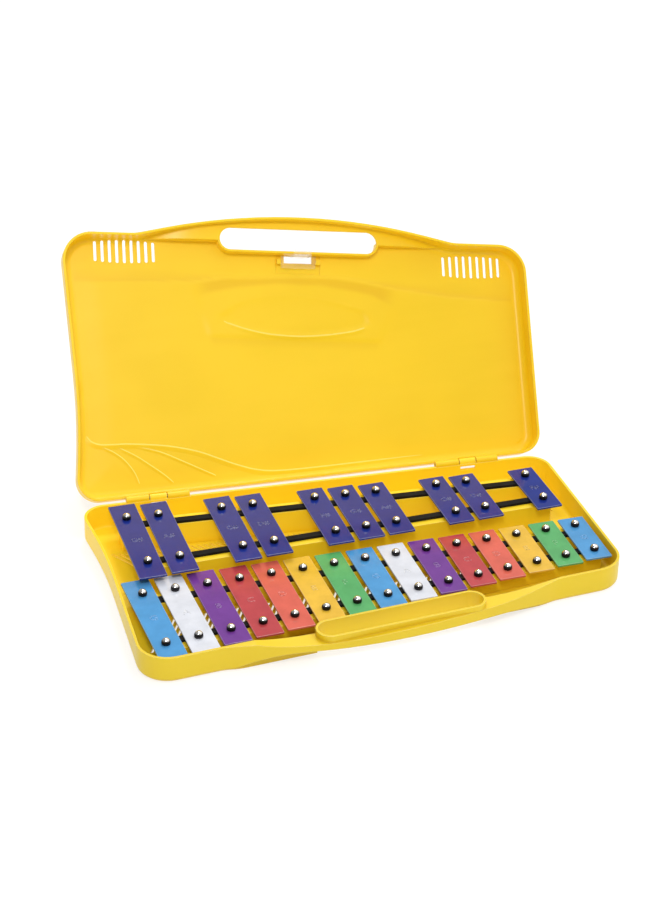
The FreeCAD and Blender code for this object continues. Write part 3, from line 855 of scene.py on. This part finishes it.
def add_ridge(bm, points, rise, wall, tail):
    """Moulded line with a steep wall on its right, seen along its points, and a soft tail."""
    path = curve_through(points)
    profile = line_profile(wall, tail)
    rings = []
    for n, (x, y) in enumerate(path):
        a, b = path[max(n - 1, 0)], path[min(n + 1, len(path) - 1)]
        size = math.hypot(b[0] - a[0], b[1] - a[1])
        nx, ny = (a[1] - b[1]) / size, (b[0] - a[0]) / size
        part = n / len(path)
        k = smooth(part / LINE_END) * smooth((1 - part) / LINE_END)
        ring = []
        for offset, height in profile:
            extra = -LINE_FOOT if height is None else rise * height * k - LINE_END_SINK * (1 - k)
            px, py = x + nx * offset, y + ny * offset
            ring.append(bm.verts.new(opened(px, py, LID_FACE_Z - height_at(px, py) - extra)))
        rings.append(ring)
    for one, two in zip(rings, rings[1:]):
        for i in range(len(profile) - 1):
            f = bm.faces.new((one[i], two[i], two[i + 1], one[i + 1]))
            # painted highlight on the strips by the steep side
            if i < HIGHLIT_STRIPS:
                f.material_index = HIGHLIGHT_INDEX


def make_lid_lines():
    """The moulded sweep with its three rays, and the rear edge of the lens."""
    bm = bmesh.new()
    add_ridge(bm, SWEEP, rise=0.55, wall=1.2, tail=5.0)
    for ray in RAYS:
        add_ridge(bm, ray, rise=0.40, wall=0.9, tail=3.0)
    add_ridge(bm, LENS_REAR[1:-1], rise=0.35, wall=1.3, tail=4.0)
    return face_forward(finish_mesh(bm, "lid_moulded_lines", [YELLOW, YELLOW_HIGHLIGHT]))


def make_lid_relief():
    """Put the skin and the moulded lines on the lid."""
    lines = make_lid_lines()
    for obj in (make_lid_face(), lines):
        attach(obj, "lid")


# ---- CAD nodes that stay ----------------------------------------------------------
def dress(material, *names):
    """Give CAD nodes a material."""
    for name in names:
        nodes[name].data.materials.clear()
        nodes[name].data.materials.append(material)


def dress_cad():
    """Give the CAD nodes their materials, and soften the edges of the rubber rails."""
    dress(TRAY_YELLOW, "base_tray", *(n for n in nodes if n.startswith("bridge_")))
    dress(YELLOW, "lid")
    dress(CLEAR, "lid_latch")
    dress(STEEL, "hinge_pin_left", "hinge_pin_right")
    for name in [n for n in nodes if n.startswith("rail_")]:
        dress(RUBBER, name)
        mod = nodes[name].modifiers.new("soft_edge", "BEVEL")
        mod.width = 0.4 * MM
        mod.segments = 2


# ---- camera, floor and light --------------------------------------------------------
def make_camera():
    data = bpy.data.cameras.new("camera")
    cam = bpy.data.objects.new("camera", data)
    bpy.context.scene.collection.objects.link(cam)
    cam.location = CAMERA_PLACE
    cam.rotation_euler = [math.radians(a) for a in CAMERA_TURN]
    data.lens = CAMERA_LENS
    data.sensor_width = CAMERA_SENSOR
    data.shift_x, data.shift_y = CAMERA_SHIFT
    data.clip_start = 0.05
    data.clip_end = 50.0
    bpy.context.scene.camera = cam


def paper():
    """Pale ground that glows a little, so that it stays white under the case."""
    mat, tree, s = new_material("floor_paper")
    cloud = noise(tree, coords(tree), 3.0, 2.0)
    stops = [(0.3, (0.33, 0.33, 0.33)), (0.7, (0.36, 0.36, 0.36))]
    tree.links.new(ramp(tree, cloud, stops), s.inputs["Base Color"])
    set_sockets(s, {
        "Roughness": 0.9,
        "Specular IOR Level": 0.0,
        "Emission Color": (*WHITE, 1.0),
        "Emission Strength": FLOOR_GLOW,
    })
    return mat


def make_floor():
    """Square sheet of paper just under the case."""
    mesh = bpy.data.meshes.new("floor")
    s = FLOOR_HALF
    mesh.from_pydata([(-s, -s, 0), (s, -s, 0), (s, s, 0), (-s, s, 0)], [], [(0, 1, 2, 3)])
    floor = link("floor", mesh, [paper()])
    floor.location.z = FLOOR_Z


def area(name, loc, target, side, power):
    """Square soft box that points at target."""
    data = bpy.data.lights.new(name, "AREA")
    data.shape = "RECTANGLE"
    data.size, data.size_y = side, side
    data.energy = power
    obj = bpy.data.objects.new(name, data)
    bpy.context.scene.collection.objects.link(obj)
    obj.location = loc
    obj.rotation_mode = "QUATERNION"
    obj.rotation_quaternion = (Vector(target) - Vector(loc)).to_track_quat("-Z", "Y")


def make_world():
    """Studio dome, brighter above and to the right, with a white backdrop."""
    world = bpy.data.worlds.new("studio")
    bpy.context.scene.world = world
    world.use_nodes = True
    tree = world.node_tree
    back = tree.nodes["Background"]
    tc = tree.nodes.new("ShaderNodeTexCoord")
    facing = tree.nodes.new("ShaderNodeVectorMath")
    facing.operation = "DOT_PRODUCT"
    facing.inputs[1].default_value = DOME_TOWARDS
    tree.links.new(tc.outputs["Generated"], facing.inputs[0])
    grey = [(0.0, (0.26, 0.26, 0.26)), (0.62, (0.29, 0.29, 0.29))]
    dome = ramp(tree, facing.outputs["Value"], grey + [(0.76, WHITE), (1.0, WHITE)])
    path = tree.nodes.new("ShaderNodeLightPath")
    seen = mix_colour(tree, path.outputs["Is Camera Ray"], dome, WHITE)
    tree.links.new(seen, back.inputs["Color"])
    back.inputs["Strength"].default_value = DOME_STRENGTH


make_bars()
make_screws()
dress_cad()
make_lid_relief()
make_camera()
make_floor()
make_world()
area("key", loc=(-0.7, -1.5, 2.1), target=(0.0, 0.05, 0.05), side=0.5, power=26.0)
area("back", loc=(0.35, 1.15, 1.75), target=(0.0, 0.0, 0.02), side=0.35, power=11.0)
bpy.context.scene.view_settings.view_transform = "Standard"

bpy.context.view_layer.update()
